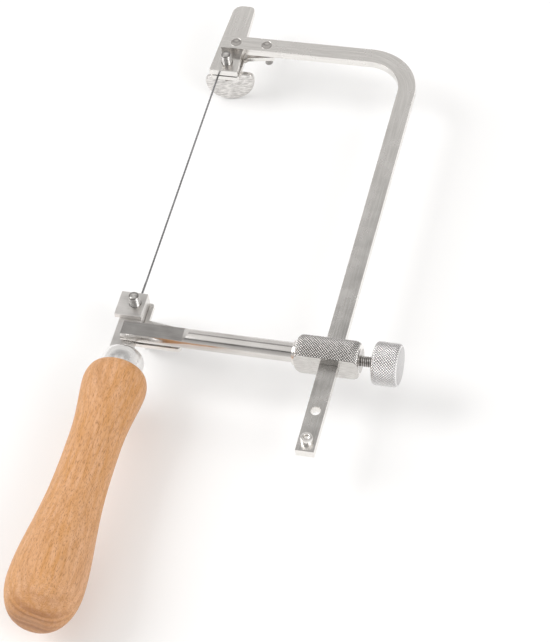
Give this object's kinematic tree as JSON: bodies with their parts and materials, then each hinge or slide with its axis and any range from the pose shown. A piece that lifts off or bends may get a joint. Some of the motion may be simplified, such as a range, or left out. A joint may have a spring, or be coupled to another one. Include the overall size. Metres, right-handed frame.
{
  "type": "fret saw",
  "caption": "Fret saw with a flat steel bow, a slider that sets its depth to the blade, two thumb screw clamps and a turned wooden handle.",
  "frame": {"origin": "middle of the saw's overall box in X and Y, at the lowest point of the handle or paddles in Z", "axes": "+Z out of the frame's front face towards the viewer, +Y from the handle to the nose plate along the blade, +X from the blade to the spine"},
  "size_m": [0.1086, 0.2796, 0.0308],
  "materials": {
    "nickel": "bright nickel plate",
    "screw_steel": "plated thread",
    "blade_steel": "dark hardened",
    "beech": "satin"
  },
  "bodies": {
    "bow": {"frame_bow": "nickel", "stop_screw": "nickel", "nose_plate": "nickel", "nose_plate_rivet": "nickel", "upper_guide_pin": "nickel"},
    "upper_jaw": {"upper_loose_jaw": "nickel"},
    "upper_screw": {"upper_thumb_screw": "screw_steel", "upper_thumb_paddle": "nickel"},
    "carriage": {"blade": "blade_steel", "lower_arm": "nickel", "neck_plate": "nickel", "jaw_pad": "nickel", "neck_plate_rivet": "nickel", "lower_guide_pin": "nickel", "slider_barrel": "nickel", "ferrule": "nickel", "handle": "beech"},
    "lower_jaw": {"lower_loose_jaw": "nickel"},
    "lower_screw": {"lower_thumb_screw": "screw_steel", "lower_thumb_paddle": "nickel"},
    "shoe": {"pressure_shoe": "screw_steel"},
    "clamp": {"clamp_screw": "screw_steel", "clamp_knob": "nickel"}
  },
  "joints": [
    {"name": "slider_travel", "type": "slide", "parent": "bow", "child": "carriage", "axis": [0, 1, 0], "range_m": [-0.0295, 0.1]},
    {"name": "upper_jaw_slide", "type": "slide", "parent": "bow", "child": "upper_jaw", "axis": [0, 0, -1], "range_m": [0, 0.001]},
    {"name": "upper_screw_turn", "type": "hinge", "parent": "upper_jaw", "child": "upper_screw", "pos_m": [-0.0408, 0.1097, 0.0132], "axis": [0, 0, -1], "range_deg": [0, 515]},
    {"name": "lower_jaw_slide", "type": "slide", "parent": "carriage", "child": "lower_jaw", "axis": [0, 0, -1], "range_m": [0, 0.001]},
    {"name": "lower_screw_turn", "type": "hinge", "parent": "lower_jaw", "child": "lower_screw", "pos_m": [-0.0429, -0.01046, 0.0132], "axis": [0, 0, -1], "range_deg": [0, 515]},
    {"name": "shoe_slide", "type": "slide", "parent": "carriage", "child": "shoe", "axis": [1, 0, 0], "range_m": [0, 0.002]},
    {"name": "clamp_knob_turn", "type": "hinge", "parent": "shoe", "child": "clamp", "pos_m": [0.0451, -0.0224, 0.02084], "axis": [1, 0, 0], "range_deg": [0, 1029]}
  ],
  "couplings": [
    {"joint": "upper_screw_turn", "follows": "upper_jaw_slide", "rad_per_m": 8976},
    {"joint": "lower_screw_turn", "follows": "lower_jaw_slide", "rad_per_m": 8976},
    {"joint": "clamp_knob_turn", "follows": "shoe_slide", "rad_per_m": 8976}
  ]
}
